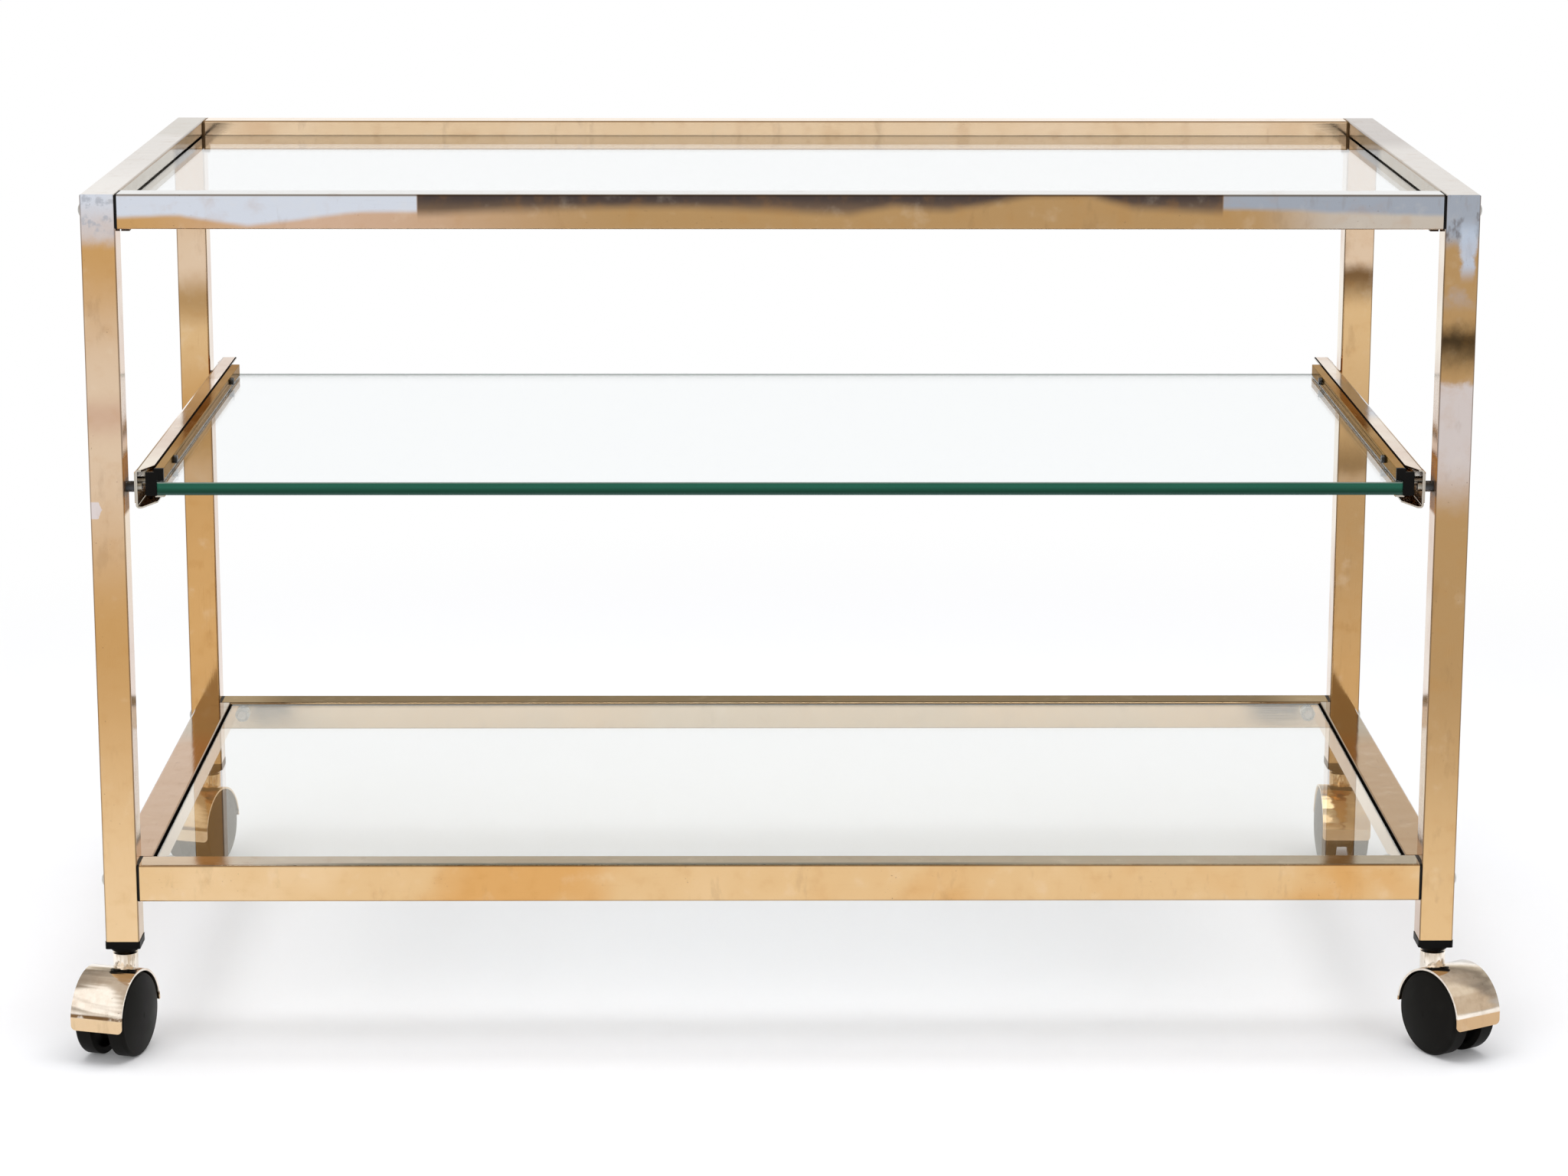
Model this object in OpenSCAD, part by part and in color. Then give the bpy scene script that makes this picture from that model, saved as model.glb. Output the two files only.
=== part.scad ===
// Dessert trolley: a polished square-tube frame with three glass shelves, the middle one on
// pull-out slides, standing on four hooded twin-wheel casters.
// Millimetres. X runs along the width, Y from front to back, Z up from the floor.

/* [Frame] */
// Width over the legs
frame_w = 1000; // [700:10:1400]
// Depth over the legs
frame_d = 515; // [420:5:700]
// Height of the top rails above the floor
frame_h = 640; // [540:5:900]
// Side of the square tube of the legs and top rails
tube = 25; // [22:0.5:32]
// Wall of every tube
tube_wall = 1.5; // [1:0.1:2.5]
// Outer corner radius of every tube
tube_r = 1.6; // [0.6:0.1:2.4]
// Height of the legs' lower ends above the floor
leg_end_z = 84; // [82:0.5:130]

/* [Lower frame] */
// Height of the lower rails' top above the floor
lower_top_z = 143; // [125:1:220]
// Height of the lower rails' section
lower_rail_h = 28; // [22:0.5:36]
// Width of the lower side rails' section
lower_side_w = 28; // [20:0.5:36]
// Lower side rails set in from the legs' outer faces
lower_side_inset = 6; // [0:0.5:12]

/* [Frame fittings] */
// Thickness of the black flange between a leg and a front or back rail
plug_flange_t = 1.5; // [1:0.1:4]
// Length of the plug inside the rail
plug_l = 20; // [12:1:40]
// Thread diameter of the frame bolts
bolt_d = 6; // [4:0.5:8]
// Diameter of the frame bolts' heads
bolt_head_d = 11; // [9:0.5:14]
// Height of the frame bolts' heads
bolt_head_h = 3; // [2:0.1:5]
// Height of the end cap's flange under a leg
cap_flange_h = 5.5; // [2:0.1:8]
// How far the end cap stands proud of the leg
cap_proud = 0.4; // [0:0.1:1.5]
// Depth of the domed boss under the end cap
cap_dome_h = 5.4; // [5:0.1:6]
// Diameter of the domed boss where it meets the cap
cap_dome_d = 23; // [20:0.5:25]
// Length of the end cap's plug inside the leg
cap_plug_l = 30; // [20:1:60]

/* [Fixed glass] */
// Thickness of the top glass
top_glass_t = 6; // [4:0.5:10]
// Top glass lies this far below the top of the rails
top_glass_drop = 12; // [2:0.5:14]
// Air around the top glass
top_glass_gap = 1.5; // [0.5:0.1:4]
// Thickness of the lower glass
lower_glass_t = 6; // [4:0.5:10]
// Lower glass lies this far below the top of the lower rails
lower_glass_drop = 1; // [0:0.5:4]
// Air around the lower glass
lower_glass_gap = 2; // [0.5:0.1:5]
// Width of a corner lug under the top glass
lug_x = 6; // [4:0.5:12]
// Length of a corner lug along the side rail
lug_y = 8; // [6:0.5:20]
// How far a corner lug reaches below the top rails
lug_below = 5; // [0:0.5:10]
// Lug's distance from the back or front rail
lug_in = 3.5; // [0.5:0.5:20]
// Diameter of the lug's spigot in the side rail
lug_spigot_d = 4; // [3:0.5:5]
// Diameter of the clear sleeves under the lower glass
sleeve_d = 12; // [8:0.5:14]
// Length of the clear sleeves
sleeve_l = 10; // [6:0.5:20]
// Diameter of the support pins
pin_d = 5; // [3:0.5:6]
// Distance from a support pin to the lower side rail's inner face
pin_in = 11; // [8:0.5:60]

/* [Pull-out shelf] */
// Height of the shelf glass's upper face above the floor
shelf_z = 431; // [300:1:500]
// Thickness of the shelf glass
shelf_glass_t = 9.5; // [6:0.5:12]
// Shelf glass stands this far behind the legs' front faces
shelf_setback = 1; // [0:0.5:20]
// Shelf glass ends this far before the legs' back faces
shelf_back_in = 44; // [40:1:100]
// Distance between front and rear rollers when the shelf is pulled out
rollers_apart = 81.5; // [30:0.5:200]

/* [Slides] */
// Length of the spacers between legs and channels
spacer_l = 8; // [3:0.5:20]
// Outer diameter of the spacers
spacer_d = 8; // [7:0.5:12]
// Height of the outer channels
channel_h = 28.5; // [26.5:0.5:36]
// Depth of the outer channels across the trolley
channel_d = 13; // [12.5:0.5:20]
// Sheet thickness of the channels
channel_t = 1.5; // [1:0.1:2]
// Thickness of the plates between spacers and channels
plate_t = 1.5; // [1:0.1:2]
// Height of those plates
plate_h = 23; // [16:0.5:26]
// Channels end this far before the legs' back faces
channel_end = 13.5; // [2:0.5:15]
// Channels' top edge above the shelf glass
channel_rise = 9; // [8:0.5:14]
// Sheet thickness of the moving rails
rail_t = 1.5; // [1:0.1:1.8]
// Moving rails start this far behind the glass's front edge
rail_setback = 6; // [0:0.5:20]
// Moving rails end this far before the glass's back edge
rail_end = 10; // [0:0.5:40]
// Moving rails' top edge above the shelf glass
rail_rise = 9.5; // [8:0.5:13]
// How far the moving rails reach over the glass's edge
rail_grip = 6.7; // [4:0.1:12]
// Thickness of the black end caps on the moving rails' front ends
rail_cap_t = 3; // [2:0.5:5]
// Thickness of the clear gasket under the glass
gasket_t = 1.2; // [0.6:0.1:2]
// Diameter of the front rollers
front_roller_d = 18; // [12:0.5:20]
// Width of the rollers
roller_w = 4.5; // [4:0.1:6]
// Front rollers' distance from the channels' front ends
front_roller_in = 24; // [22:1:40]
// Rear rollers' distance from the moving rails' back ends
rear_roller_in = 14; // [13:0.5:30]
// Diameter of the roller studs
stud_d = 5; // [3:0.5:6]
// Diameter of the slide screws
screw_d = 4; // [3:0.5:5]
// Diameter of the grip screws in the moving rails' lips
grip_screw_d = 3; // [2:0.5:3.5]

/* [Casters] */
// Wheel diameter
wheel_d = 63; // [50:1:64]
// Width of a wheel's tread
tread_w = 12.5; // [8:0.5:20]
// How far a wheel's outer face bulges
wheel_dome = 3.2; // [0.5:0.1:4]
// Space between the two wheels of a caster
wheel_space = 14.5; // [13:0.5:20]
// Distance from the stem's axis to the wheels' axle
trail = 19; // [16:0.5:24]
// Diameter of the axles
axle_d = 5; // [4:0.5:8]
// Diameter of the stems
stem_d = 8; // [6:0.5:9]
// Sheet thickness of the hoods
hood_t = 1.6; // [1:0.1:2]
// Air between wheels and hood
hood_gap = 1.5; // [1:0.1:2.5]
// Outer diameter of the hood's neck
neck_d = 18.5; // [17:0.5:22]
// Height of the hood's flat lip
lip_h = 10; // [6:0.5:14]
// Height of the lip's lower edge above the axle, negative when below
lip_z = -4.5; // [-10:0.5:0]
// Turn of the front left caster about its stem
yaw_front_left = -16.5; // [-90:0.5:90]
// Turn of the front right caster
yaw_front_right = 31; // [-90:0.5:90]
// Turn of the back left caster
yaw_back_left = -16.5; // [-90:0.5:90]
// Turn of the back right caster
yaw_back_right = -1; // [-90:0.5:90]

/* [Hidden] */
BRASS = "#d8b98c";
STEEL = "#a9adb1";
BRIGHT_STEEL = "#c9ccd0";
BLACK = "#1b1a19";
BROWN = "#3a2a1e";
CLEAR_GLASS = [0.80, 0.88, 0.85, 0.35];
GREEN_GLASS = [0.62, 0.80, 0.72, 0.45];
CLEAR_PLASTIC = [0.86, 0.88, 0.88, 0.5];
$fn = 64;

// Clearances
running = 0.05;        // radial, a shaft that turns in a hole
fitted = 0.1;          // radial or per side, a piece pushed into another
drilled = 0.2;         // radial, a bolt through a drilled hole
face_gap = 0.3;        // between faces that move past each other
past = 1;              // how far a cutting shape runs past what it cuts

// Radius of the circle that rises this much over half of its chord.
function dome_radius(half, rise) = (pow(half, 2) + pow(rise, 2)) / (2 * rise);

// Frame
half_w = frame_w / 2;
half_d = frame_d / 2;
leg_x = half_w - tube / 2;
leg_y = half_d - tube / 2;
inner_x = half_w - tube;
inner_y = half_d - tube;
lower_side_out = half_w - lower_side_inset;
lower_side_in = lower_side_out - lower_side_w;
top_mid_z = frame_h - tube / 2;
lower_mid_z = lower_top_z - lower_rail_h / 2;

// Frame fittings
insert_r = 1;          // corner radius of what is pushed into a tube
bolt_short = 2;        // a bolt ends this far before its plug does
bolt_end_x = inner_x - plug_flange_t - plug_l + bolt_short;
bolt_rim_h = 0.8;      // height of a button head's straight edge
bolt_head_r = dome_radius(bolt_head_d / 2, bolt_head_h - bolt_rim_h);
bolt_socket_d = bolt_d * 0.75;
bolt_socket_h = bolt_head_h * 0.6;
cap_roof_t = 3;        // plastic left above the stem's bore in an end cap
cap_bore_top_z = leg_end_z + cap_plug_l - cap_roof_t;
cap_bottom_z = leg_end_z - cap_flange_h - cap_dome_h;
cap_round_r = 4.6;     // rounding of the boss's lower edge
cap_round_x = cap_dome_d / 2 - cap_round_r;
cap_round_z = cap_dome_h - cap_round_r;
cap_dome_r = dome_radius(cap_round_x, cap_round_z);

// Small heads
head_over = 3;         // a screw's or stud's head is this much wider than its shank
socket_share = 0.6;    // a socket's width as a share of the shank
socket_h = 1.2;        // depth of a socket in a small head

// Fixed glass
pane_r = 2;            // corner radius of a pane
lug_mid_y = inner_y - lug_in - lug_y / 2;
lug_spigot_z = frame_h - tube + tube_wall + lug_spigot_d / 2 + 0.5;
spigot_past = 2;       // the lug's spigot reaches this far into the side rail
pin_x = lower_side_in - pin_in;
pin_z = lower_top_z - lower_glass_drop - lower_glass_t - sleeve_d / 2;
pin_head_over = 2;     // a support pin's head is this much wider than the pin
pin_head_t = 1.2;
pin_head_y = -inner_y + sleeve_l + 2 * face_gap;

// Casters
wheel_r = wheel_d / 2;
hood_in = wheel_r + hood_gap;
hood_out = hood_in + hood_t;
hood_back_gap = 0.5;   // air between wheels and hood behind the axle
hood_y = -trail - (hood_gap - hood_back_gap); // middle of the hood's bend
hood_overhang = 0.5;   // a hood reaches this far past the treads at either side
hood_w = wheel_space + 2 * (tread_w + hood_overhang);
hood_back_z = 2;       // height of the hood's back edge above the axle
lip_lap = 0.6;         // overlap of the bent sheet and the flat lip
lip_corner_r = 3.5;
lip_out = sqrt(pow(hood_out, 2) - pow(lip_z + lip_h, 2));
neck_top_z = cap_bottom_z - face_gap;
wheel_side_gap = 0.6;  // between a wheel and the carrier
carrier_w = wheel_space - 2 * wheel_side_gap;
carrier_ground = 12;   // height of the carrier's underside above the floor
carrier_r = wheel_r - carrier_ground;
post_d = carrier_w;
stem_floor_t = 4;      // plastic left between the axle's and the stem's bores
stem_bottom_z = wheel_r + axle_d / 2 + stem_floor_t;
wheel_face_t = 2.5;    // plastic left over the axle's end
hub_depth = tread_w - wheel_face_t;
shoulder_r = 3;        // rounding of the tread's outer edge
face_r = wheel_r - shoulder_r;
hub_t = 4;             // plastic round the axle
hub_r = axle_d / 2 + hub_t;
rim_t = 5;             // thickness of the tread's ring
rim_r = wheel_r - rim_t;
FRONT_LEFT = [-1, -1, yaw_front_left];
FRONT_RIGHT = [1, -1, yaw_front_right];
BACK_LEFT = [-1, 1, yaw_back_left];
BACK_RIGHT = [1, 1, yaw_back_right];

// The frame is shifted so that the origin lies under the middle of the whole object.
function front_reach(yaw) = (hood_out - hood_y) * cos(yaw) + hood_w / 2 * abs(sin(yaw));
function back_reach(yaw) = (hood_out + hood_y) * cos(yaw) + hood_w / 2 * abs(sin(yaw));
origin_shift = (max(front_reach(yaw_front_left), front_reach(yaw_front_right))
    - max(back_reach(yaw_back_left), back_reach(yaw_back_right), tube / 2)) / 2;

// Outer channels, right-hand side
channel_out = inner_x - spacer_l;
channel_web_in = channel_out - channel_t;
channel_in = channel_out - channel_d;
channel_top_z = shelf_z + channel_rise;
channel_bottom_z = channel_top_z - channel_h;
channel_mid_z = channel_top_z - channel_h / 2;
channel_setback = 1.5; // channels start this far behind the legs' front faces
channel_front = -half_d + channel_setback;
channel_back = half_d - channel_end;
channel_cut_x = 8.6;   // size of the slanted cut on the flanges' front corners
channel_cut_y = 22;
bend_r = 2.4;          // outer radius of the channels' bends
screw_end = 6;         // least distance from a slide screw to a channel's back end
screw_y = [-leg_y, min(leg_y, channel_back - screw_end)];
screw_past = 3;        // a slide screw reaches this far past the leg's wall
screw_head_h = 2;
plate_w = 12;          // width of the plates between spacers and channels
plate_r = 1.5;

// Moving rails, right-hand side
shelf_front = -half_d + shelf_setback;
shelf_back = half_d - shelf_back_in;
shelf_bottom_z = shelf_z - shelf_glass_t;
rail_gap = 0.5;        // between a moving rail and its channel's flanges
rail_front = shelf_front + rail_setback;
rail_back = shelf_back - rail_end;
rail_out = channel_in - rail_gap;
rail_web_in = rail_out - rail_t;
rail_lip_in = rail_out - rail_grip;
rail_top_z = shelf_z + rail_rise;
ledge_z = shelf_bottom_z - gasket_t;
gasket_side = 0.5;     // gasket between the glass and the rail's web
gasket_over = 0.6;     // gasket between the glass and the rail's lip
shelf_half_w = rail_web_in - gasket_side;
grip_screw_in = 57;    // distance from the grip screws to the rail's ends
grip_screw_y = [rail_front + grip_screw_in, rail_back - grip_screw_in];
grip_screw_z = (shelf_z + gasket_over + rail_top_z) / 2;
grip_head_h = 2.2;
rail_cap_plug_l = 10;  // how far a rail's end cap reaches into the rail

// Rollers and their studs, right-hand side
roller_start = 2;      // rollers start this far outside the moving rail
roller_in = rail_out + roller_start;
roller_out = roller_in + roller_w;
roller_edge_r = 0.6;
riding_gap = 0.8;      // between a moving rail's upper flange and the channel's
riding_z = channel_top_z - channel_t - riding_gap - rail_t;
front_roller_y = channel_front + front_roller_in;
front_roller_z = riding_z - running - front_roller_d / 2;
rear_roller_y = rail_back - rear_roller_in;
shelf_travel = rear_roller_y - front_roller_y - rollers_apart;
rear_roller_d = channel_h - 2 * channel_t - 2 * (face_gap - running);
riding_end = 2;        // the riding flange ends this far before the rear roller
riding_back = rear_roller_y - rear_roller_d / 2 - riding_end;
rivet_d = stud_d - 1;  // a stud's riveted end
stud_head_d = stud_d + head_over;
stud_head_t = 1.2;
stop_h = 9;            // height of the channels' stop ears

// ---- helpers ----

// Every piece is drawn about the middle of the frame and moved here to the origin.
module placed() { translate([0, origin_shift, 0]) children(); }

// side = 1 keeps the right-hand shape, side = -1 mirrors it to the left.
module on_side(side) { mirror([side < 0 ? 1 : 0, 0, 0]) children(); }

// end = -1 keeps the front shape, end = 1 mirrors it to the back.
module at_end(end) { mirror([0, end > 0 ? 1 : 0, 0]) children(); }

module both_sides() { for (side = [-1, 1]) on_side(side) children(); }

module four_corners() { both_sides() for (end = [-1, 1]) at_end(end) children(); }

// A flat shape drawn in Y and Z, drawn out along X.
module along_x(x0, x1) {
    translate([x0, 0, 0]) rotate([90, 0, 90]) linear_extrude(x1 - x0) children();
}

// A flat shape drawn in X and Z, drawn out along Y.
module along_y(y0, y1) {
    translate([0, y1, 0]) rotate([90, 0, 0]) linear_extrude(y1 - y0) children();
}

module rod_x(x0, x1, y, z, d) { along_x(x0, x1) translate([y, z]) circle(d = d); }

// A hexagon socket cut into a head whose inner face is at x.
module socket_x(x, y, z, d) {
    translate([x - past, y, z]) rotate([0, 90, 0])
        cylinder(d = d * socket_share, h = past + socket_h, $fn = 6);
}

module rod_y(y0, y1, x, z, d) { along_y(y0, y1) translate([x, z]) circle(d = d); }

// A box between two corners.
module block(low, high) { translate(low) cube(high - low); }

// Rectangle about the origin with round corners.
module rounded(w, h, r) {
    square([w - 2 * r, h], center = true);
    square([w, h - 2 * r], center = true);
    for (x = [-1, 1], y = [-1, 1]) translate([x * (w / 2 - r), y * (h / 2 - r)]) circle(r);
}

module tube_section(w, h) {
    difference() {
        rounded(w, h, tube_r);
        square([w - 2 * tube_wall, h - 2 * tube_wall], center = true);
    }
}

// ---- frame, drawn for the front right corner ----

// The half of the corner square above (or below) the mitre between a leg and a top side rail.
module mitre_cut(above) {
    along_x(inner_x - past, half_w + past) polygon([
        [-half_d - past, frame_h + past],
        [-inner_y + past, frame_h - tube - past],
        above ? [-inner_y + past, frame_h + past] : [-half_d - past, frame_h - tube - past]
    ]);
}

// Holes for the frame bolts through leg and side rail, at the top and lower rails.
module bolt_holes() {
    for (z = [top_mid_z, lower_mid_z])
        rod_x(inner_x - past, half_w + past, -leg_y, z, bolt_d + 2 * drilled);
}

module leg(slide_screw_y) {
    color(BRASS) difference() {
        translate([leg_x, -leg_y, leg_end_z]) linear_extrude(frame_h - leg_end_z)
            tube_section(tube, tube);
        mitre_cut(true);
        bolt_holes();
        rod_x(inner_x - past, leg_x, slide_screw_y, channel_mid_z, screw_d + 2 * fitted);
    }
}

module top_side_rail() {
    color(BRASS) difference() {
        along_y(-half_d, half_d) translate([leg_x, top_mid_z]) tube_section(tube, tube);
        for (end = [-1, 1]) at_end(end) {
            mitre_cut(false);
            bolt_holes();
            rod_x(inner_x - past, leg_x, -lug_mid_y, lug_spigot_z, lug_spigot_d + 2 * fitted);
        }
    }
}

module cross_rail_tube(h, z) {
    along_x(-inner_x + plug_flange_t, inner_x - plug_flange_t)
        translate([-leg_y, z]) tube_section(tube, h);
}

module top_cross_rail() { color(BRASS) cross_rail_tube(tube, top_mid_z); }

module lower_cross_rail() {
    color(BRASS) difference() {
        cross_rail_tube(lower_rail_h, lower_mid_z);
        both_sides() rod_y(-leg_y, -inner_y + past, pin_x, pin_z, pin_d + 2 * fitted);
    }
}

module lower_side_rail() {
    color(BRASS) along_y(-inner_y, inner_y)
        translate([(lower_side_in + lower_side_out) / 2, lower_mid_z])
            tube_section(lower_side_w, lower_rail_h);
}

module rail_end_plug(h, z) {
    insert = [tube - 2 * tube_wall - 2 * fitted, h - 2 * tube_wall - 2 * fitted];
    difference() {
        union() {
            along_x(inner_x - plug_flange_t, inner_x)
                translate([-leg_y, z]) rounded(tube, h, tube_r);
            along_x(inner_x - plug_flange_t - plug_l, inner_x - plug_flange_t)
                translate([-leg_y, z]) rounded(insert[0], insert[1], insert_r);
        }
        rod_x(bolt_end_x - face_gap, inner_x + past, -leg_y, z, bolt_d + 2 * running);
    }
}

module rail_end_plugs() {
    color(BLACK) four_corners() {
        rail_end_plug(tube, top_mid_z);
        rail_end_plug(lower_rail_h, lower_mid_z);
    }
}

// Button head with a hexagon socket outside the leg, shank through leg and plug.
module frame_bolt(z) {
    difference() {
        union() {
            rod_x(bolt_end_x, half_w, -leg_y, z, bolt_d);
            translate([half_w, -leg_y, z]) rotate([0, 90, 0]) rotate_extrude() intersection() {
                translate([0, bolt_head_h - bolt_head_r]) circle(bolt_head_r);
                square([bolt_head_d / 2, bolt_head_h]);
            }
        }
        translate([half_w + bolt_head_h - bolt_socket_h, -leg_y, z]) rotate([0, 90, 0])
            cylinder(d = bolt_socket_d, h = bolt_socket_h + past, $fn = 6);
    }
}

module frame_bolts() {
    color(BRIGHT_STEEL) four_corners() {
        frame_bolt(top_mid_z);
        frame_bolt(lower_mid_z);
    }
}

module leg_end_cap() {
    insert = tube - 2 * tube_wall - 2 * fitted;
    difference() {
        union() {
            translate([leg_x, -leg_y, leg_end_z - cap_flange_h]) linear_extrude(cap_flange_h)
                rounded(tube + 2 * cap_proud, tube + 2 * cap_proud, tube_r + cap_proud);
            translate([leg_x, -leg_y, leg_end_z]) linear_extrude(cap_plug_l)
                rounded(insert, insert, insert_r);
            translate([leg_x, -leg_y, cap_bottom_z]) rotate_extrude() {
                intersection() {
                    translate([0, cap_dome_r]) circle(cap_dome_r);
                    square([cap_round_x, cap_dome_h]);
                }
                intersection() {
                    translate([cap_round_x, cap_dome_h]) circle(cap_round_r);
                    square([cap_dome_d / 2, cap_dome_h]);
                }
            }
        }
        translate([leg_x, -leg_y, cap_bottom_z - past])
            cylinder(d = stem_d + 2 * fitted, h = cap_bore_top_z - cap_bottom_z + past);
    }
}

module leg_end_caps() { color(BLACK) four_corners() leg_end_cap(); }

// ---- fixed glass ----

module pane(x, y, z, t) {
    translate([0, 0, z - t]) linear_extrude(t) rounded(2 * x, 2 * y, pane_r);
}

module top_glass() {
    color(CLEAR_GLASS)
        pane(inner_x - top_glass_gap, inner_y - top_glass_gap, frame_h - top_glass_drop, top_glass_t);
}

module lower_glass() {
    color(CLEAR_GLASS)
        pane(lower_side_in - lower_glass_gap, inner_y - lower_glass_gap,
            lower_top_z - lower_glass_drop, lower_glass_t);
}

module top_support_lug() {
    block([inner_x - lug_x, -lug_mid_y - lug_y / 2, frame_h - tube - lug_below],
        [inner_x, -lug_mid_y + lug_y / 2, frame_h - top_glass_drop - top_glass_t]);
    rod_x(inner_x - lug_x / 2, inner_x + tube_wall + spigot_past, -lug_mid_y, lug_spigot_z, lug_spigot_d);
}

module top_support_lugs() { color(BROWN) four_corners() top_support_lug(); }

// Riveted in the rail's inner wall, with a head that keeps the sleeve on.
module lower_support_pin() {
    rod_y(-inner_y - tube_wall, pin_head_y, pin_x, pin_z, pin_d);
    rod_y(pin_head_y, pin_head_y + pin_head_t, pin_x, pin_z, pin_d + pin_head_over);
}

module lower_support_pins() { color(BRIGHT_STEEL) four_corners() lower_support_pin(); }

module pin_sleeve() {
    difference() {
        rod_y(-inner_y + face_gap, -inner_y + face_gap + sleeve_l, pin_x, pin_z, sleeve_d);
        rod_y(-inner_y - past, -inner_y + sleeve_l + past, pin_x, pin_z, pin_d + 2 * running);
    }
}

module pin_sleeves() { color(CLEAR_PLASTIC) four_corners() pin_sleeve(); }

// ---- slides, drawn for the right-hand side ----

module channel_section() {
    half_h = channel_h / 2;
    translate([channel_in, channel_mid_z]) difference() {
        union() {
            translate([0, -half_h]) square([channel_d - bend_r, channel_h]);
            translate([0, bend_r - half_h]) square([channel_d, channel_h - 2 * bend_r]);
            for (z = [-1, 1]) translate([channel_d - bend_r, z * (half_h - bend_r)]) circle(bend_r);
        }
        translate([-past, channel_t - half_h])
            square([channel_d - bend_r + past, channel_h - 2 * channel_t]);
        translate([-past, bend_r - half_h])
            square([channel_d - channel_t + past, channel_h - 2 * bend_r]);
        for (z = [-1, 1]) translate([channel_d - bend_r, z * (half_h - bend_r)])
            circle(bend_r - channel_t);
    }
}

module outer_channel() {
    color(BRASS) difference() {
        union() {
            along_y(channel_front, channel_back) channel_section();
            // Ears bent up from the lower flange stop the rear roller at either end of its travel.
            for (y = [rear_roller_y - shelf_travel - rear_roller_d / 2 - face_gap - channel_t,
                rear_roller_y + rear_roller_d / 2 + face_gap])
                block([roller_in, y, channel_bottom_z + channel_t / 2],
                    [roller_out, y + channel_t, channel_bottom_z + channel_t + stop_h]);
        }
        // The flanges' front corners are cut off at a slant.
        translate([0, 0, channel_bottom_z - past]) linear_extrude(channel_h + 2 * past) polygon([
            [channel_in - past, channel_front - past],
            [channel_in + channel_cut_x + past * channel_cut_x / channel_cut_y, channel_front - past],
            [channel_in - past, channel_front + channel_cut_y + past * channel_cut_y / channel_cut_x]
        ]);
        for (y = screw_y) rod_x(channel_web_in - past, channel_out + past, y, channel_mid_z,
            screw_d + 2 * drilled);
        rod_x(channel_web_in - past, channel_out + past, front_roller_y, front_roller_z,
            rivet_d + 2 * fitted);
    }
}

module slide_spacer(y) {
    difference() {
        rod_x(channel_out + plate_t, inner_x, y, channel_mid_z, spacer_d);
        rod_x(channel_out - past, inner_x + past, y, channel_mid_z, screw_d + 2 * drilled);
    }
}

// Flat plate clamped between a spacer and the channel's web.
module slide_plate(y) {
    difference() {
        along_x(channel_out, channel_out + plate_t)
            translate([y, channel_mid_z]) rounded(plate_w, plate_h, plate_r);
        rod_x(channel_out - past, inner_x, y, channel_mid_z, screw_d + 2 * drilled);
    }
}

module slide_plates() { color(BRASS) both_sides() for (y = screw_y) slide_plate(y); }

module slide_spacers() { color(STEEL) both_sides() for (y = screw_y) slide_spacer(y); }

// Pan head inside the channel, shank through channel, spacer and the leg's inner wall.
module slide_screw(y) {
    difference() {
        union() {
            rod_x(channel_web_in, inner_x + tube_wall + screw_past, y, channel_mid_z, screw_d);
            rod_x(channel_web_in - screw_head_h, channel_web_in, y, channel_mid_z,
                screw_d + head_over);
        }
        socket_x(channel_web_in - screw_head_h, y, channel_mid_z, screw_d);
    }
}

module slide_screws() { color(BRIGHT_STEEL) both_sides() for (y = screw_y) slide_screw(y); }

// Riveted through the channel, with a shoulder behind the roller and a head before it.
module front_roller_stud() {
    rod_x(channel_web_in, channel_out, front_roller_y, front_roller_z, rivet_d);
    rod_x(roller_out + face_gap, channel_web_in, front_roller_y, front_roller_z, stud_head_d - 1);
    rod_x(roller_in - face_gap, roller_out + face_gap, front_roller_y, front_roller_z, stud_d);
    rod_x(roller_in - face_gap - stud_head_t, roller_in - face_gap, front_roller_y,
        front_roller_z, stud_head_d);
}

module front_roller_studs() { color(BRIGHT_STEEL) both_sides() front_roller_stud(); }

// A roller with rounded edges, running on its stud.
module roller(y, z, d) {
    translate([roller_in, y, z]) rotate([0, 90, 0]) rotate_extrude() difference() {
        translate([0, roller_w / 2]) rounded(d, roller_w, roller_edge_r);
        translate([-d, -past]) square([d + stud_d / 2 + running, roller_w + 2 * past]);
    }
}

module front_roller() { color(BLACK) roller(front_roller_y, front_roller_z, front_roller_d); }

module rear_roller() { color(BLACK) roller(rear_roller_y, channel_mid_z, rear_roller_d); }

// Web, ledge under the glass, top flange with a lip down to the glass, and the flange that
// rides over the front roller.
module moving_rail() {
    color(BRASS) difference() {
        union() {
            along_y(rail_front, rail_back) {
                translate([rail_web_in, ledge_z - rail_t])
                    square([rail_t, rail_top_z - ledge_z + rail_t]);
                translate([rail_lip_in, ledge_z - rail_t]) square([rail_grip, rail_t]);
                translate([rail_lip_in, rail_top_z - rail_t]) square([rail_grip, rail_t]);
                translate([rail_lip_in, shelf_z + gasket_over])
                    square([rail_t, rail_top_z - shelf_z - gasket_over]);
            }
            along_y(rail_front, riding_back) translate([rail_web_in, riding_z])
                square([roller_out - rail_web_in, rail_t]);
        }
        rod_x(rail_web_in - past, rail_out + past, rear_roller_y, channel_mid_z,
            rivet_d + 2 * fitted);
        for (y = grip_screw_y) rod_x(rail_lip_in - past, rail_lip_in + rail_t + past,
            y, grip_screw_z, grip_screw_d + 2 * fitted);
    }
}

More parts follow.
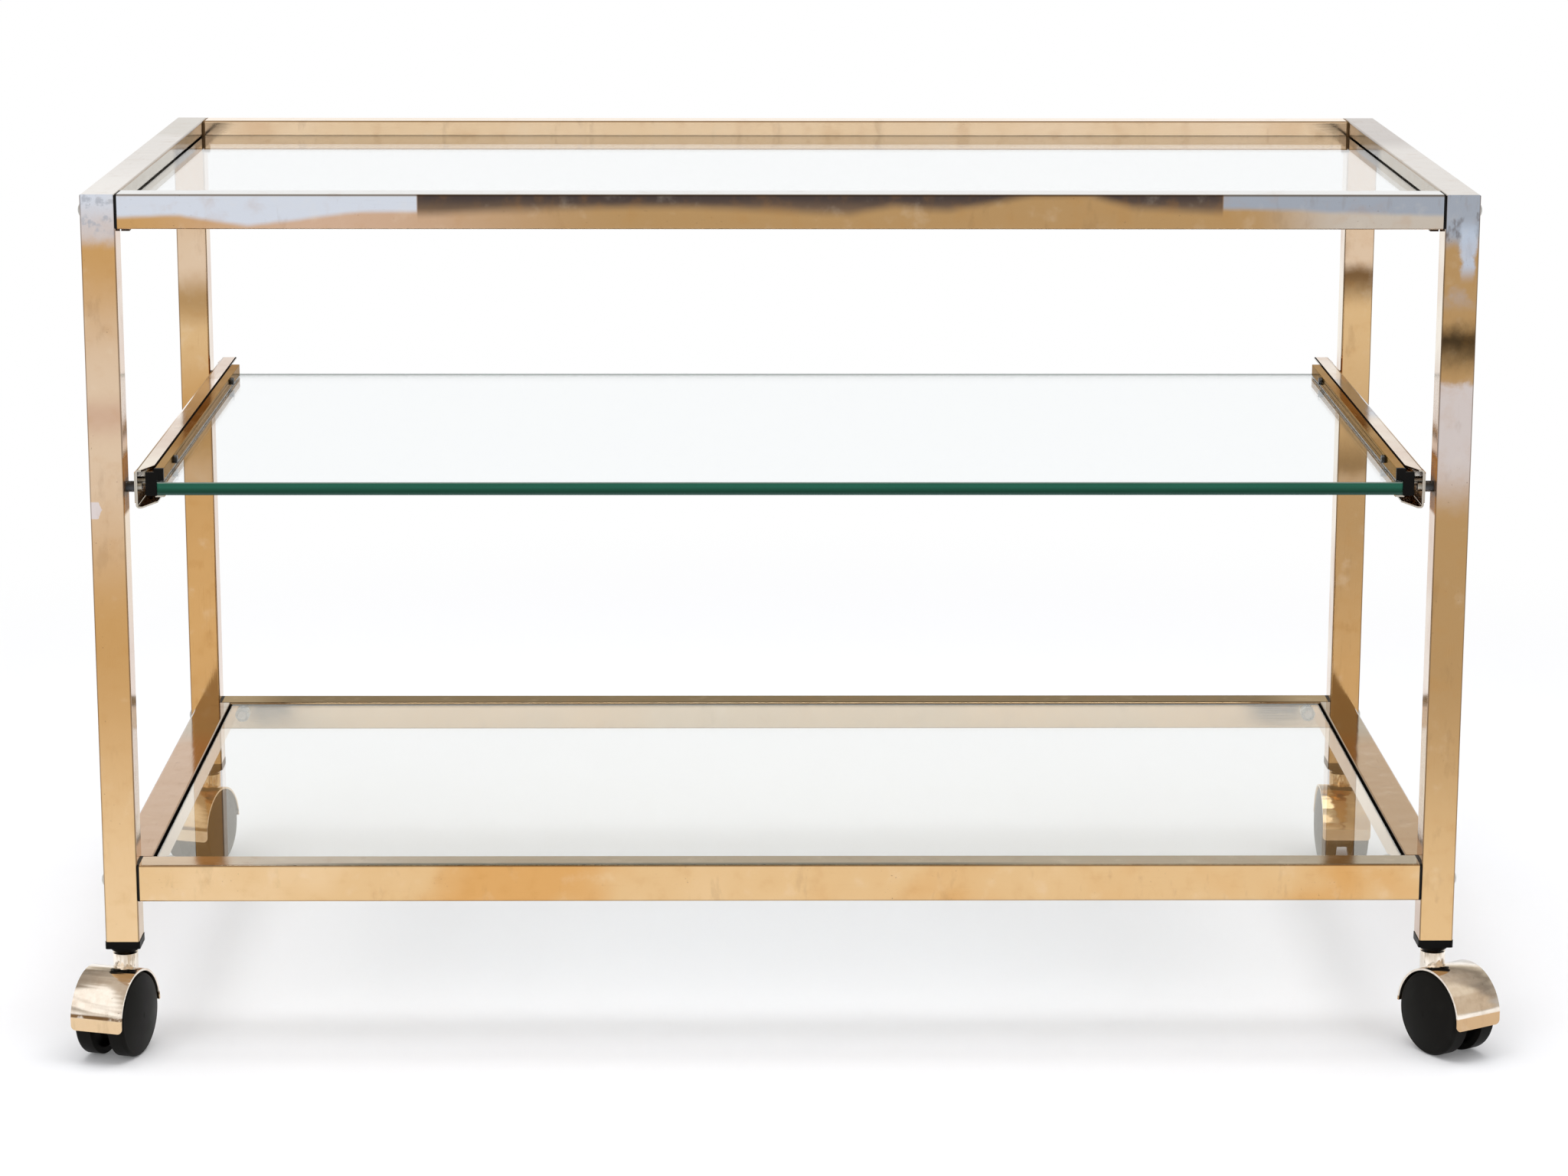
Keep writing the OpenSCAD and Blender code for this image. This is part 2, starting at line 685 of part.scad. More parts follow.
// Black cap on a moving rail's front end: it covers the web and the riding flange, and a plug
// holds it in the hollow between web and lip.
module moving_rail_cap() {
    along_y(rail_front - rail_cap_t, rail_front) {
        translate([rail_web_in, ledge_z]) square([rail_t, rail_top_z - ledge_z]);
        translate([rail_web_in, ledge_z])
            square([roller_out - rail_web_in, riding_z + rail_t - ledge_z]);
        translate([rail_lip_in, shelf_z + gasket_over])
            square([rail_grip, rail_top_z - shelf_z - gasket_over]);
    }
    along_y(rail_front - past, rail_front + rail_cap_plug_l)
        translate([rail_lip_in + rail_t + fitted, shelf_z + gasket_over + fitted])
            square([rail_grip - 2 * rail_t - 2 * fitted,
                rail_top_z - rail_t - shelf_z - gasket_over - 2 * fitted]);
}

module moving_rail_caps() { color(BLACK) both_sides() moving_rail_cap(); }

module shelf_glass() {
    color(GREEN_GLASS) translate([0, (shelf_front + shelf_back) / 2, 0])
        pane(shelf_half_w, (shelf_back - shelf_front) / 2, shelf_z, shelf_glass_t);
}

module shelf_gaskets() {
    color(CLEAR_PLASTIC) both_sides() along_y(rail_front, rail_back) {
        translate([rail_lip_in, ledge_z])
            square([rail_grip - rail_t, gasket_t]);
        translate([shelf_half_w, ledge_z])
            square([gasket_side, gasket_t + shelf_glass_t + gasket_over]);
        translate([rail_lip_in, shelf_z])
            square([rail_grip - rail_t, gasket_over]);
    }
}

module shelf_grip_screw(y) {
    difference() {
        union() {
            rod_x(rail_lip_in, rail_web_in - face_gap, y, grip_screw_z, grip_screw_d);
            rod_x(rail_lip_in - grip_head_h, rail_lip_in, y, grip_screw_z,
                grip_screw_d + head_over);
        }
        socket_x(rail_lip_in - grip_head_h, y, grip_screw_z, grip_screw_d);
    }
}

module shelf_grip_screws() {
    color(BRIGHT_STEEL) both_sides() for (y = grip_screw_y) shelf_grip_screw(y);
}

// Riveted through the moving rail, carrying the rear roller inside the channel.
module rear_roller_stud() {
    rod_x(rail_web_in, rail_out, rear_roller_y, channel_mid_z, rivet_d);
    rod_x(rail_out, roller_in - face_gap, rear_roller_y, channel_mid_z, stud_head_d);
    rod_x(roller_in - face_gap, roller_out + face_gap, rear_roller_y, channel_mid_z, stud_d);
    rod_x(roller_out + face_gap, roller_out + face_gap + stud_head_t, rear_roller_y,
        channel_mid_z, stud_head_d);
}

module rear_roller_studs() { color(BRIGHT_STEEL) both_sides() rear_roller_stud(); }

// ---- casters, drawn about the stem with the axle along X and the hood facing the front ----

module at_caster(corner) {
    translate([corner[0] * leg_x, corner[1] * leg_y, 0]) rotate([0, 0, corner[2]]) children();
}

// Sheet bent over both wheels, a flat lip at the front and a neck round the stem.
module hood() {
    color(BRASS) difference() {
        union() {
            along_x(-hood_w / 2, hood_w / 2) translate([hood_y, wheel_r]) difference() {
                circle(hood_out);
                translate([-hood_out - past, -hood_out - past])
                    square([hood_out + past, hood_out + past + lip_z + lip_h - lip_lap]);
                translate([0, -hood_out - past])
                    square([hood_out + past, hood_out + past + hood_back_z]);
                circle(hood_in);
            }
            translate([0, hood_y, wheel_r + lip_z + lip_h / 2])
                along_y(-lip_out, -lip_out + hood_t) {
                    rounded(hood_w, lip_h, lip_corner_r);
                    translate([-hood_w / 2, 0]) square([hood_w, lip_h / 2]);
                }
            translate([0, 0, wheel_r]) cylinder(d = neck_d, h = neck_top_z - wheel_r);
        }
        rod_x(-hood_w, hood_w, hood_y, wheel_r, 2 * hood_in);
        cylinder(d = post_d + 2 * fitted, h = neck_top_z + past);
    }
}

// Core between the wheels with a post up the hood's neck, bored for stem and axle.
module carrier() {
    color(BLACK) difference() {
        union() {
            rod_x(-carrier_w / 2, carrier_w / 2, -trail, wheel_r, 2 * carrier_r);
            along_x(-carrier_w / 2, carrier_w / 2) translate([hood_y, wheel_r]) intersection() {
                circle(hood_in - fitted);
                translate([-hood_in, 0]) square([2 * hood_in, hood_in]);
            }
            translate([0, 0, stem_bottom_z - stem_floor_t])
                cylinder(d = post_d, h = neck_top_z - stem_bottom_z + stem_floor_t);
        }
        translate([0, 0, stem_bottom_z - face_gap])
            cylinder(d = stem_d + 2 * running, h = neck_top_z);
        rod_x(-carrier_w, carrier_w, -trail, wheel_r, axle_d + 2 * fitted);
    }
}

module stem() {
    color(BRIGHT_STEEL) translate([0, 0, stem_bottom_z])
        cylinder(d = stem_d, h = cap_bore_top_z - face_gap - stem_bottom_z);
}

module axle() {
    reach = wheel_space / 2 + hub_depth - face_gap;
    color(BRIGHT_STEEL) rod_x(-reach, reach, -trail, wheel_r, axle_d);
}

// The wheel on the right of its caster. Its outer face bulges and its inner side is dished.
module wheel() {
    dome_r = dome_radius(face_r, wheel_dome);
    color(BLACK) translate([wheel_space / 2, -trail, wheel_r]) rotate([0, 90, 0])
        rotate_extrude() difference() {
            union() {
                square([wheel_r - shoulder_r, tread_w]);
                square([wheel_r, tread_w - shoulder_r]);
                translate([wheel_r - shoulder_r, tread_w - shoulder_r]) circle(shoulder_r);
                intersection() {
                    translate([0, tread_w + wheel_dome - dome_r]) circle(dome_r, $fn = 720);
                    translate([0, tread_w / 2]) square([face_r, tread_w]);
                }
            }
            translate([hub_r, -past]) square([rim_r - hub_r, past + tread_w / 2]);
            translate([-past, -past]) square([past + axle_d / 2 + running, past + hub_depth]);
        }
}

// ---- the nodes ----

placed() on_side(-1) leg(screw_y[0]);  // front_left_leg
placed() leg(screw_y[0]);  // front_right_leg
placed() on_side(-1) at_end(1) leg(-screw_y[1]);  // back_left_leg
placed() at_end(1) leg(-screw_y[1]);  // back_right_leg
placed() top_cross_rail();  // top_front_rail
placed() at_end(1) top_cross_rail();  // top_back_rail
placed() on_side(-1) top_side_rail();  // top_left_rail
placed() top_side_rail();  // top_right_rail
placed() lower_cross_rail();  // lower_front_rail
placed() at_end(1) lower_cross_rail();  // lower_back_rail
placed() on_side(-1) lower_side_rail();  // lower_left_rail
placed() lower_side_rail();  // lower_right_rail
placed() rail_end_plugs();
placed() frame_bolts();
placed() leg_end_caps();
placed() top_glass();
placed() top_support_lugs();
placed() lower_glass();
placed() lower_support_pins();
placed() pin_sleeves();
placed() on_side(-1) outer_channel();  // left_outer_channel
placed() outer_channel();  // right_outer_channel
placed() slide_plates();
placed() slide_spacers();
placed() slide_screws();
placed() front_roller_studs();
placed() on_side(-1) front_roller();  // front_left_roller
placed() front_roller();  // front_right_roller
placed() on_side(-1) moving_rail();  // left_moving_rail
placed() moving_rail();  // right_moving_rail
placed() moving_rail_caps();
placed() shelf_glass();
placed() shelf_gaskets();
placed() shelf_grip_screws();
placed() rear_roller_studs();
placed() on_side(-1) rear_roller();  // rear_left_roller
placed() rear_roller();  // rear_right_roller
placed() at_caster(FRONT_LEFT) hood();  // front_left_hood
placed() at_caster(FRONT_RIGHT) hood();  // front_right_hood
placed() at_caster(BACK_LEFT) hood();  // back_left_hood
placed() at_caster(BACK_RIGHT) hood();  // back_right_hood
placed() at_caster(FRONT_LEFT) carrier();  // front_left_carrier
placed() at_caster(FRONT_RIGHT) carrier();  // front_right_carrier
placed() at_caster(BACK_LEFT) carrier();  // back_left_carrier
placed() at_caster(BACK_RIGHT) carrier();  // back_right_carrier
placed() at_caster(FRONT_LEFT) stem();  // front_left_stem
placed() at_caster(FRONT_RIGHT) stem();  // front_right_stem
placed() at_caster(BACK_LEFT) stem();  // back_left_stem
placed() at_caster(BACK_RIGHT) stem();  // back_right_stem
placed() at_caster(FRONT_LEFT) axle();  // front_left_axle
placed() at_caster(FRONT_RIGHT) axle();  // front_right_axle
placed() at_caster(BACK_LEFT) axle();  // back_left_axle
placed() at_caster(BACK_RIGHT) axle();  // back_right_axle
placed() at_caster(FRONT_LEFT) on_side(-1) wheel();  // front_left_wheel_a
placed() at_caster(FRONT_LEFT) wheel();  // front_left_wheel_b
placed() at_caster(FRONT_RIGHT) on_side(-1) wheel();  // front_right_wheel_a
placed() at_caster(FRONT_RIGHT) wheel();  // front_right_wheel_b
placed() at_caster(BACK_LEFT) on_side(-1) wheel();  // back_left_wheel_a
placed() at_caster(BACK_LEFT) wheel();  // back_left_wheel_b
placed() at_caster(BACK_RIGHT) on_side(-1) wheel();  // back_right_wheel_a
placed() at_caster(BACK_RIGHT) wheel();  // back_right_wheel_b
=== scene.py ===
"""Dessert trolley: finishes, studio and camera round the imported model. Metres, +Z up."""
import math

import bpy
from mathutils import Matrix, Vector

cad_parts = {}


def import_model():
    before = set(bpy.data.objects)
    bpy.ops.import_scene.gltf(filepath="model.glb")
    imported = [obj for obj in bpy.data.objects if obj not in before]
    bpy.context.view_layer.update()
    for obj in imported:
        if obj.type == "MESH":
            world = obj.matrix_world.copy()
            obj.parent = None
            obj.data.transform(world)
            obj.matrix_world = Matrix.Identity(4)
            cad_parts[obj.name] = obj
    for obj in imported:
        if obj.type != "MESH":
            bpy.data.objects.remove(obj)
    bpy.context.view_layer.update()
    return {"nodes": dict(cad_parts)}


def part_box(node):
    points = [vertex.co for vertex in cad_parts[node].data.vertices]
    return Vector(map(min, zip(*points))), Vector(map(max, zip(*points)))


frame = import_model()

nodes = frame["nodes"]

# ---- sizes taken from the frame ----

LEG_LOW, LEG_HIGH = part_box("front_left_leg")
FRAME_TOP = LEG_HIGH.z
LEG_RIGHT_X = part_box("front_right_leg")[1].x
RAIL_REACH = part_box("top_front_rail")[1].x
TUBE = LEG_HIGH.x - LEG_LOW.x
LOWER_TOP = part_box("lower_left_rail")[1].z
PANE_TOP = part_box("top_glass")[1].z
WEB_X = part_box("shelf_glass")[1].x - 0.004    # the moving rails' web, inside the glass's ends
RUNNER_X = -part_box("left_outer_channel")[1].x
HOOD_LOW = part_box("front_left_hood")[0].z
MIDDLE_Y = (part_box("front_left_leg")[0].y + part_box("back_left_leg")[1].y) / 2
CORNERS = ("front_left", "front_right", "back_left", "back_right")

# ---- sizes of marks and edges ----

SIDE_HALF = 0.26                  # half of the stretch in which a side rail's bands lie
FRONT_HALF = 0.48                 # the same for the lower front rail
MIRRORED_SLIDE = (0.407, 0.449)   # heights at which the legs' inner sides mirror the slide
MIRRORED_SPACER = (0.42, 0.432)   # and its dark spacer
CHIP_HEIGHTS = (0.404, 0.4165)    # the chip in the left leg's plating
DARK_REFLECTION_SPAN = (-0.2595, 0.3155)     # the stretch of painted dark reflection on the top front rail
LIP_RISE = 0.0103                 # from a hood's lower edge to the top of its lip
HAIRLINE = 0.0003                 # the round of a thin edge
PANE_ROUND = 0.0006
LUG_ROUND = 0.0005


def srgb(code):
    """The linear colour of a #rrggbb code."""
    parts = [int(code[i:i + 2], 16) / 255 for i in (1, 3, 5)]
    return tuple(c / 12.92 if c <= 0.04045 else ((c + 0.055) / 1.055) ** 2.4 for c in parts) + (1,)


# Polished, worn plating, with colours of its painted reflections and painted shade
PALE_GOLD = srgb("#e0c094")
GOLD = srgb("#d9b584")
DEEP_GOLD = srgb("#d2a062")
HONEY = srgb("#b9833f")
ROSE_GOLD = srgb("#cfae94")
BRONZE = srgb("#7a5c3c")
UMBER = srgb("#5a4636")
SILVER = srgb("#d3d8e2")
CREAM = srgb("#efe2cd")
OCHRE = srgb("#c89c64")
TAN = srgb("#b49062")
BLUSH = srgb("#dcc2a6")
PEARL = srgb("#cfc4c0")
IVORY = srgb("#e0d8ce")
DOVE = srgb("#c4b9ac")
OLIVE_GREY = srgb("#a5977f")
TAUPE = srgb("#846d58")
WALNUT = srgb("#463724")
ASH = srgb("#a0a6b0")
AMBER_REFLECTION = srgb("#a86f2c")
DARK_REFLECTION = srgb("#5d524e")
# Black of painted shade in narrow shadowed openings
PAINTED_SHADE_BLACK = srgb("#17130f")
# Marks in it, most of them painted reflections and painted shade
BLUE_REFLECTION_PATCH = srgb("#a9adb6")
PALE_CHIP = srgb("#ddd2d0")
BLUE_REFLECTION_STREAK = srgb("#bcc6d6")
GREY_CLOUD = srgb("#aeb0ba")
DEEP_DARK_REFLECTION = srgb("#4a403d")
BROWN_DARK_REFLECTION = srgb("#75604e")
TOP_SILVER_REFLECTION = srgb("#dcdcda")
WARM_WHITE = srgb("#ffe6c8")
WARM_CREAM = srgb("#f8dcb8")
DULL_BACK = srgb("#8f7c60")
DARK_EDGE = srgb("#3f402c")
DULL_TOP = srgb("#75644c")
DULL_TOP_END = srgb("#b09d80")
PLAIN_BACK = srgb("#d8c09c")
SHEET_CREAM = srgb("#fff4ea")
SHEET_BLUE = srgb("#b2b4bd")
CUT_SHEET = srgb("#b3afa6")
WEB_TAN = srgb("#a8926f")
HOOD_REFLECTION_CREAM = srgb("#fbf2e6")
HOOD_REFLECTION_GREY = srgb("#e6d8c8")
LIP_GOLD = srgb("#e0c39c")
LIP_TAN = srgb("#ceac84")
# Tints of plating seen nearly edge on
LOWER_GLANCE = srgb("#ddd3c2")
RAIL_GLANCE = srgb("#b59a76")
STEM_GLANCE = srgb("#d8b888")
# The rest
STEEL = srgb("#b9b6ae")
DARK_STEEL = srgb("#4c4e50")
ZINC = srgb("#8f9092")
GLASS_TINT = srgb("#f6f9fa")
GLASS_CLOUD = srgb("#1b4a3a")
GLASS_SHADOW = srgb("#f4f4f4")
RIM_GREY = srgb("#35504a")
DEEP_TEAL = srgb("#0c3829")
MID_TEAL = srgb("#184a39")
TEAL = srgb("#235f4c")
RIM_HIGHLIGHT = srgb("#84948a")
# A pane's ground edge, from its lower face, at 0, to its upper face, at 1: teal, with painted
# shade low down and a painted highlight at the upper arris
GLASS_TEAL = [(0.0, RIM_GREY), (0.1, RIM_GREY), (0.24, DEEP_TEAL), (0.42, MID_TEAL),
              (0.6, TEAL), (0.88, TEAL), (0.95, RIM_HIGHLIGHT)]
# A thin pane's edge, painted near black as painted shade, with a painted highlight at the top
GLASS_THIN = [(0.0, srgb("#0f1512")), (0.85, srgb("#141c17")), (0.95, srgb("#343f39"))]
WHEEL_BLACK = srgb("#151412")
NYLON_BLACK = srgb("#0d0c0b")
BROWN = srgb("#3d2a1c")
PLUG_BROWN = srgb("#6b5234")
CLEAR_PLASTIC = srgb("#e4e7e4")
WHITE = (1, 1, 1, 1)


# ---- finishes ----

class Wire:
    """A socket of a finish. Arithmetic on wires adds Math nodes."""

    def __init__(self, finish, node, output=0):
        self.finish = finish
        self.node = node
        self.socket = node.outputs[output] if len(node.outputs) else None

    def out(self, name):
        return Wire(self.finish, self.node, name)

    def math(self, operation, first, second):
        return self.finish.add("Math", {"operation": operation}, {0: first, 1: second})

    def __add__(self, other):
        return self.math("ADD", self, other)

    __radd__ = __add__

    def __sub__(self, other):
        return self.math("SUBTRACT", self, other)

    def __rsub__(self, other):
        return self.math("SUBTRACT", other, self)

    def __mul__(self, other):
        return self.math("MULTIPLY", self, other)

    __rmul__ = __mul__

    def __truediv__(self, other):
        return self.math("DIVIDE", self, other)

    def __abs__(self):
        return self.math("ABSOLUTE", self, 0)


class Finish:
    """The shader nodes of a material or of the world."""

    def __init__(self, tree, material=None):
        self.tree = tree
        self.material = material
        self.gap = None
        self.painted_shade_and_reflection_tone = PAINTED_SHADE_BLACK
        tree.nodes.clear()

    def add(self, kind, settings=None, values=None, output=0):
        """Adds one node: its settings first, then the values or wires of its sockets."""
        node = self.tree.nodes.new("ShaderNode" + kind)
        for name, value in (settings or {}).items():
            if name == "stops":
                self.set_stops(node.color_ramp, value)
            else:
                setattr(node, name, value)
        for name, value in (values or {}).items():
            if isinstance(value, Wire):
                self.tree.links.new(value.socket, node.inputs[name])
            else:
                node.inputs[name].default_value = value
        return Wire(self, node, output)

    def set_stops(self, ramp, stops):
        while len(ramp.elements) < len(stops):
            ramp.elements.new(0.5)
        for element, (place, colour) in zip(ramp.elements, stops):
            element.position = place
            element.color = colour

    def place(self):
        """Position on the piece, in metres in the trolley's frame."""
        return self.add("TexCoord").out("Object")

    def axes(self, place):
        parts = self.add("SeparateXYZ", values={0: place})
        return parts.out("X"), parts.out("Y"), parts.out("Z")

    def facing(self):
        """Which way the surface looks, as X, Y and Z shares."""
        return self.axes(self.add("NewGeometry").out("Normal"))

    def stretch(self, place, scale):
        return self.add("VectorMath", {"operation": "MULTIPLY"}, {0: place, 1: scale})

    def noise(self, place, scale, detail=3, rough=0.55):
        return self.add("TexNoise", {}, {"Vector": place, "Scale": scale, "Detail": detail,
                                         "Roughness": rough})

    def rise(self, value, low, high):
        """0 below low, 1 above high, smooth between."""
        return self.add("MapRange", {"interpolation_type": "SMOOTHSTEP"},
                        {"Value": value, "From Min": low, "From Max": high})

    def band(self, value, low, high, soft):
        """1 from low to high, fading out over soft at either end."""
        return self.rise(value, low - soft, low + soft) * self.rise(value, high + soft, high - soft)

    def largest(self, first, second):
        return self.add("Math", {"operation": "MAXIMUM"}, {0: first, 1: second})

    def blend(self, factor, first, second):
        """From the first colour, at 0, to the second, at 1."""
        return self.add("Mix", {"data_type": "RGBA"}, {0: factor, 6: first, 7: second}, 2)

    def ramp(self, value, stops, easing="EASE"):
        node = self.add("ValToRGB", {"stops": stops}, {0: value})
        node.node.color_ramp.interpolation = easing
        return node

    def bump(self, height, distance, strength=1.0, normal=None):
        values = {"Height": height, "Distance": distance, "Strength": strength}
        if normal:
            values["Normal"] = normal
        return self.add("Bump", {}, values)

    def surface(self, shader):
        """Ends the tree and gives the material."""
        self.add("OutputMaterial", {}, {"Surface": shader})
        return self.material


def new_finish(name):
    material = bpy.data.materials.new(name)
    material.use_nodes = True
    return Finish(material.node_tree, material)


# Which way a tube runs decides the way its polishing lines run.
ALONG = {"x": (30, 1500, 1500), "y": (1500, 30, 1500), "z": (1500, 1500, 30)}


def worn(f, place, clouds, colour):
    """Wear of the plating: honey and cream clouds, bronze smears and dark specks."""
    colour = f.blend(f.rise(clouds, 0.5, 0.75) * 0.16, colour, HONEY)
    colour = f.blend(f.rise(clouds, 0.45, 0.22) * 0.14, colour, CREAM)
    smears = f.noise(f.stretch(place, (70, 70, 26)), 1, 5, 0.6)
    colour = f.blend(f.rise(smears, 0.58, 0.7) * 0.14, colour, BRONZE)
    specks = f.rise(f.noise(place, 620, 1), 0.735, 0.78) * f.rise(f.noise(place, 24, 2), 0.5, 0.62)
    return f.blend(specks * 0.5, colour, UMBER)


def brass(name, along, tone, roughness=0.05, edge_reflection=0.6, glance=WHITE):
    """Polished brass plating. tone(finish, place, x, y, z) gives its colour.

    along is the axis that the tube runs along. lined is how far the narrow round between
    a tube's flat faces is darkened, a painted dark reflection along its edges. glance is the
    tint of a surface seen nearly edge on. A tone may set finish.gap, its mask of painted
    shade and painted reflection, and finish.painted_shade_and_reflection_tone for the colour
    painted there.
    """
    f = new_finish(name)
    place = f.place()
    x, y, z = f.axes(place)
    colour = tone(f, place, x, y, z)
    clouds = f.noise(place, 55, 4)
    colour = worn(f, place, clouds, colour)
    # Painted reflection: the narrow rounds between flat faces darkened towards umber
    if edge_reflection:
        across, deep, up = f.facing()
        flat = f.largest(f.largest(abs(across), abs(deep)), abs(up))
        colour = f.blend(f.rise(flat, 0.985, 0.86) * edge_reflection, colour, UMBER)
    lines = f.noise(f.stretch(place, ALONG[along]), 1, 3)
    scratches = f.rise(lines, 0.63, 0.7)
    rough = roughness + lines * 0.08 + scratches * 0.1 + f.rise(clouds, 0.55, 0.75) * 0.08
    waves = f.noise(place, 16, 2)
    normal = f.bump(waves, 0.0006, 0.5)
    normal = f.bump(lines, 0.00002, 0.6, normal)
    metal = f.add("BsdfPrincipled", {}, {"Base Color": colour, "Metallic": 1.0,
                                         "Roughness": rough, "Normal": normal,
                                         "Specular Tint": glance})
    # Painted shade and painted reflection: a matte coat in the painted colour where the mask is set
    if f.gap:
        shade = f.add("BsdfPrincipled", {}, {"Base Color": f.painted_shade_and_reflection_tone, "Roughness": 1.0,
                                             "Specular IOR Level": 0.0})
        metal = f.add("MixShader", {}, {0: f.gap, 1: metal, 2: shade})
    return f.surface(metal)


def leg_tone(stops, ragged, marks=None):
    """Colour bands up a leg's front, at heights in metres, painted reflections. The other faces
    are plain gold.

    ragged is how far the bands' ends stray. marks adds one leg's painted reflections, and the
    left leg's chip.
    """
    def tone(f, place, x, y, z):
        cloud = f.noise(place, 75, 5, 0.65) - 0.5
        height = z + cloud * ragged * 2
        colour = f.ramp(height / FRAME_TOP, [(at / FRAME_TOP, c) for at, c in stops])
        if marks:
            colour = marks(f, place, x, z, cloud, colour)
        sides = even_tone(PALE_GOLD, ROSE_GOLD, CREAM)(f, place, x, y, z)
        return f.blend(f.rise(f.facing()[1], -0.3, -0.8), sides, colour)
    return tone


def at_mm(*pairs):
    """Colour stops from places in millimetres, each with a tone of the plating."""
    return [(at / 1000, tone) for at, tone in pairs]


def slide_reflection(f, x, z):
    """Painted reflection on a leg's inner side: amber where it mirrors the slide, umber where it
    mirrors its dark spacer.
    """
    side = f.rise(x * f.facing()[0], -0.2, -0.4)
    f.gap = side * f.band(z, *MIRRORED_SLIDE, 0.002) * 0.8
    f.painted_shade_and_reflection_tone = f.blend(f.band(z, *MIRRORED_SPACER, 0.002), AMBER_REFLECTION, UMBER)


def left_leg_chip_and_reflections(f, place, x, z, cloud, colour):
    """A white chip at the outer edge, and faint blue-grey patches of painted reflection in the
    silver end.
    """
    edge = x + cloud * 0.008 + abs(z - 0.411) * 0.5
    chip = f.rise(edge, LEG_LOW.x + 0.0095, LEG_LOW.x + 0.0088)
    chip = chip * f.band(z, *CHIP_HEIGHTS, 0.0005)
    patches = f.rise(f.noise(place, 130, 4), 0.5, 0.64) * f.rise(z, 0.608, 0.616)
    colour = f.blend(patches * 0.7, colour, BLUE_REFLECTION_PATCH)
    slide_reflection(f, x, z)
    return f.blend(chip, colour, PALE_CHIP)


def right_leg_reflections(f, place, x, z, cloud, colour):
    """Painted reflections: a silver streak down the middle of the upper end, with dark patches
    beside it and a pale grey band below.
    """
    middle = abs(x - (LEG_RIGHT_X - TUBE / 2) - 0.0045 + cloud * 0.012)
    run = f.rise(middle, 0.0065, 0.003) * f.band(z, 0.583, 0.618, 0.008)
    colour = f.blend(run * 0.9, colour, BLUE_REFLECTION_STREAK)
    blotch = f.rise(f.noise(f.stretch(place, (120, 120, 60)), 1, 3), 0.5, 0.64)
    beside = f.rise(middle, 0.004, 0.008)
    colour = f.blend(blotch * beside * f.rise(z, 0.585, 0.597) * 0.8, colour, DARK_REFLECTION)
    pale = f.rise(f.noise(place, 48, 3), 0.42, 0.62) * f.band(z, 0.56, 0.578, 0.006)
    slide_reflection(f, x, z)
    return f.blend(pale * 0.35, colour, GREY_CLOUD)


# Painted reflections: the colour bands up each leg's front
LEFT_LEG = leg_tone(
    at_mm((80, PALE_GOLD), (320, OCHRE), (455, BLUSH), (480, ROSE_GOLD), (500, BLUSH),
          (600, OCHRE), (612, PEARL), (640, SILVER)),
    0.006, left_leg_chip_and_reflections)
RIGHT_LEG = leg_tone(
    at_mm((80, GOLD), (300, TAN), (400, TAN), (450, PEARL), (500, PEARL), (506, TAN),
          (535, WALNUT), (552, TAN), (600, TAN), (612, ASH)),
    0.007, right_leg_reflections)
BACK_LEFT_LEG = leg_tone(
    at_mm((80, OCHRE), (400, OCHRE), (460, GOLD), (490, TAN), (520, BLUSH), (640, OCHRE)), 0.004)
BACK_RIGHT_LEG = leg_tone(
    at_mm((80, OCHRE), (300, TAN), (480, GOLD), (512, BRONZE), (525, BLUSH), (640, OCHRE)), 0.004)


def top_front_tone(f, place, x, y, z):
    """Silver and dark stretches along the upper half of the rail's front, painted reflections,
    with tan and rose below; the top face is painted silver, a painted reflection too.
    """
    cloud = f.noise(f.stretch(place, (22, 22, 70)), 1, 4) - 0.5
    run = (x + cloud * 0.004) / (2 * RAIL_REACH) + 0.5

    def stretches(*shares):
        """How far down the face a mark reaches, as a share of it, at places along the rail."""
        steps = [(at / (2 * RAIL_REACH) + 0.5, (d, d, d, 1)) for at, d in shares]
        return f.ramp(run, steps, "LINEAR")

    down = (FRAME_TOP - z) / TUBE + cloud * 0.14
    # How far down the face the painted dark reflection reaches, at places along the rail
    dark_reflection_reach = stretches((-0.26, 0.55), (-0.13, 0.35), (-0.06, 0.35), (0.05, 0.55), (0.08, 0.3),
                     (0.12, 0.45), (0.18, 0), (0.22, 0), (0.25, 0.35), (0.31, 0.5))
    silver = stretches((-0.475, 0.65), (-0.43, 0.6), (-0.38, 0.9), (-0.3, 0.5), (0.33, 0.4),
                       (0.475, 0.6))
    lower = tones_along(f, x, RAIL_REACH, (-475, OCHRE), (-340, ROSE_GOLD), (-100, TAN),
                        (330, TAN), (410, DOVE))
    bright = f.blend(f.rise(x, -0.2, 0.2), SILVER, ASH)
    span = f.band(x, *DARK_REFLECTION_SPAN, 0.0008)
    colour = f.blend(f.rise(down - silver, 0.1, -0.1) * (1 - span), lower, bright)
    dark = f.blend(f.rise(down, 0.05, 0.5), DEEP_DARK_REFLECTION, BROWN_DARK_REFLECTION)
    colour = f.blend(f.rise(down - dark_reflection_reach, 0.2, -0.17) * span, colour, dark)
    across, deep, up = f.facing()
    plain = even_tone(PALE_GOLD, GOLD)(f, place, x, y, z)
    rest = f.blend(f.rise(up, 0.5, 0.9), plain, TOP_SILVER_REFLECTION)
    return f.blend(f.rise(deep, -0.3, -0.8), rest, colour)


def even_tone(*colours):
    """Slow drift between a few golds."""
    def tone(f, place, x, y, z):
        steps = [(0.3 + 0.4 * i / (len(colours) - 1), c) for i, c in enumerate(colours)]
        return f.ramp(f.noise(place, 7, 3), steps)
    return tone


def tones_along(f, value, half, *pairs):
    """Colour bands along a rail, at places in millimetres from its middle."""
    stops = [(at / (2 * half) + 0.5, tone) for at, tone in at_mm(*pairs)]
    return f.ramp(value / (2 * half) + 0.5, stops)


